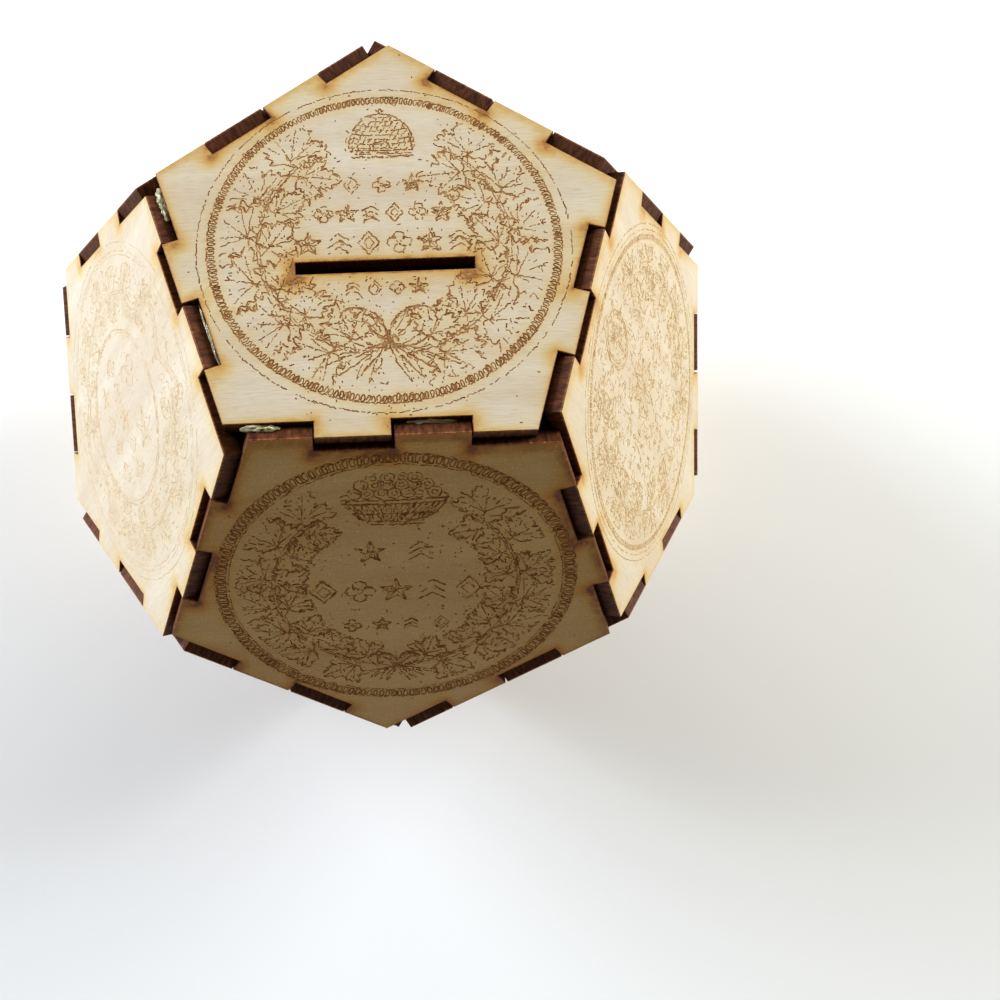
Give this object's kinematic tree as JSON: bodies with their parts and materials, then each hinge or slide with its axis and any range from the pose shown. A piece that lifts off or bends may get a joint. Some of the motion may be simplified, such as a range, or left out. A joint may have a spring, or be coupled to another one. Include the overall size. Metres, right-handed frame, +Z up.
{
  "type": "twelve-sided wooden money box",
  "caption": "Dodecahedral plywood money box of finger-jointed pentagonal panels, with a coin slot on top and a plugged emptying hole underneath.",
  "frame": {"origin": "middle of the bottom panel's outer face, on the surface that the box stands on", "axes": "+Z up through the middle of the slotted top panel, +X to the right along the coin slot, +Y to the back, away from the slot's front side"},
  "size_m": [0.131, 0.1362, 0.1114],
  "materials": {
    "engraved_plywood": "unfinished laser-cut birch plywood with burnt line engraving",
    "plain_plywood": "unfinished laser-cut birch plywood with smoke marks at the cuts",
    "plug_plastic": "glossy white moulded polyethylene"
  },
  "bodies": {
    "box": {"top_panel": "engraved_plywood", "upper_panel_1": "engraved_plywood", "upper_panel_2": "engraved_plywood", "upper_panel_3": "engraved_plywood", "upper_panel_4": "engraved_plywood", "upper_panel_5": "engraved_plywood", "lower_panel_1": "engraved_plywood", "lower_panel_2": "engraved_plywood", "lower_panel_3": "engraved_plywood", "lower_panel_4": "engraved_plywood", "lower_panel_5": "engraved_plywood", "bottom_panel": "plain_plywood", "plug_seat_ring": "plain_plywood"},
    "plug": {"plug": "plug_plastic"}
  },
  "joints": [
    {"name": "plug_slide", "type": "slide", "parent": "box", "child": "plug", "axis": [0, 0, -1], "range_m": [0, 0.03]}
  ]
}
